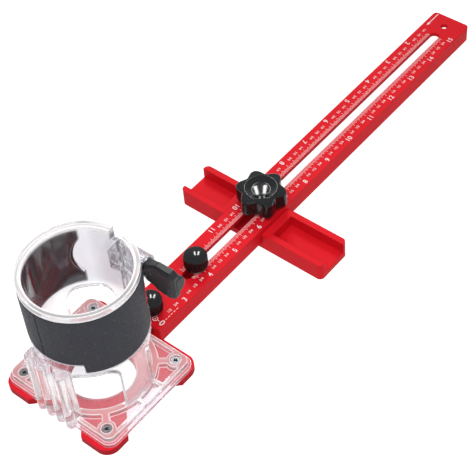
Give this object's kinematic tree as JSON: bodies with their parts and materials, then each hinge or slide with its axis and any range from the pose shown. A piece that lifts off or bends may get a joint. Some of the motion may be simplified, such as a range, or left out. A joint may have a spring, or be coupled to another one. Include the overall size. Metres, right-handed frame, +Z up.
{
  "type": "router circle cutting jig",
  "caption": "Clear split-collar trim router base on a red plate, with a slotted inch-ruler arm and a sliding channel fence held by a star knob.",
  "frame": {"origin": "axis of the bit opening at the underside of the base plate", "axes": "+Z up along the collar's axis, +X along the ruler arm away from the router"},
  "size_m": [0.4371, 0.12, 0.106],
  "materials": {
    "red_aluminium": "satin red anodised",
    "clear_plastic": "clear moulded",
    "grip_rubber": "dotted matt",
    "black_plastic": "moulded black",
    "screw_steel": "zinc plated",
    "insert_brass": "turned"
  },
  "bodies": {
    "base": {"base_plate": "red_aluminium", "router_base": "clear_plastic", "grip_left": "grip_rubber", "grip_right": "grip_rubber", "corner_screws": "screw_steel", "clamp_nut": "screw_steel", "ruler_bar": "red_aluminium"},
    "clamp_seat": {"clamp_washer": "screw_steel"},
    "clamp_handle": {"wing_knob": "black_plastic", "wing_screw": "screw_steel"},
    "near_seat": {"near_washer": "screw_steel"},
    "near_handle": {"near_knob": "black_plastic", "near_stud": "screw_steel"},
    "far_seat": {"far_washer": "screw_steel"},
    "far_handle": {"far_knob": "black_plastic", "far_stud": "screw_steel"},
    "fence": {"fence": "red_aluminium", "fence_bolt": "screw_steel"},
    "star_seat": {"star_washer": "screw_steel"},
    "star_handle": {"star_knob": "black_plastic", "star_insert": "insert_brass"}
  },
  "joints": [
    {"name": "clamp_lift", "type": "slide", "parent": "base", "child": "clamp_seat", "axis": [0, -1, 0], "range_m": [0, 0.00225]},
    {"name": "clamp_turn", "type": "hinge", "parent": "clamp_seat", "child": "clamp_handle", "pos_m": [0.0415, -0.0122, 0.075], "axis": [0, -1, 0], "range_deg": [-20, 840]},
    {"name": "near_lift", "type": "slide", "parent": "base", "child": "near_seat", "axis": [0, 0, 1], "range_m": [0, 0.0018]},
    {"name": "near_turn", "type": "hinge", "parent": "near_seat", "child": "near_handle", "pos_m": [0.0496, 0, 0.0182], "axis": [0, 0, 1], "range_deg": [-20, 840]},
    {"name": "far_lift", "type": "slide", "parent": "base", "child": "far_seat", "axis": [0, 0, 1], "range_m": [0, 0.0018]},
    {"name": "far_turn", "type": "hinge", "parent": "far_seat", "child": "far_handle", "pos_m": [0.0941, 0, 0.0182], "axis": [0, 0, 1], "range_deg": [-20, 840]},
    {"name": "fence_slide", "type": "slide", "parent": "base", "child": "fence", "axis": [1, 0, 0], "range_m": [-0.0385, 0.2075]},
    {"name": "star_lift", "type": "slide", "parent": "fence", "child": "star_seat", "axis": [0, 0, 1], "range_m": [0, 0.00225]},
    {"name": "star_turn", "type": "hinge", "parent": "star_seat", "child": "star_handle", "pos_m": [0.163, 0, 0.0182], "axis": [0, 0, 1], "range_deg": [-20, 840]}
  ],
  "couplings": [
    {"joint": "clamp_turn", "follows": "clamp_lift", "rad_per_m": 6283.2},
    {"joint": "near_turn", "follows": "near_lift", "rad_per_m": 7854},
    {"joint": "far_turn", "follows": "far_lift", "rad_per_m": 7854},
    {"joint": "star_turn", "follows": "star_lift", "rad_per_m": 6283.2}
  ]
}
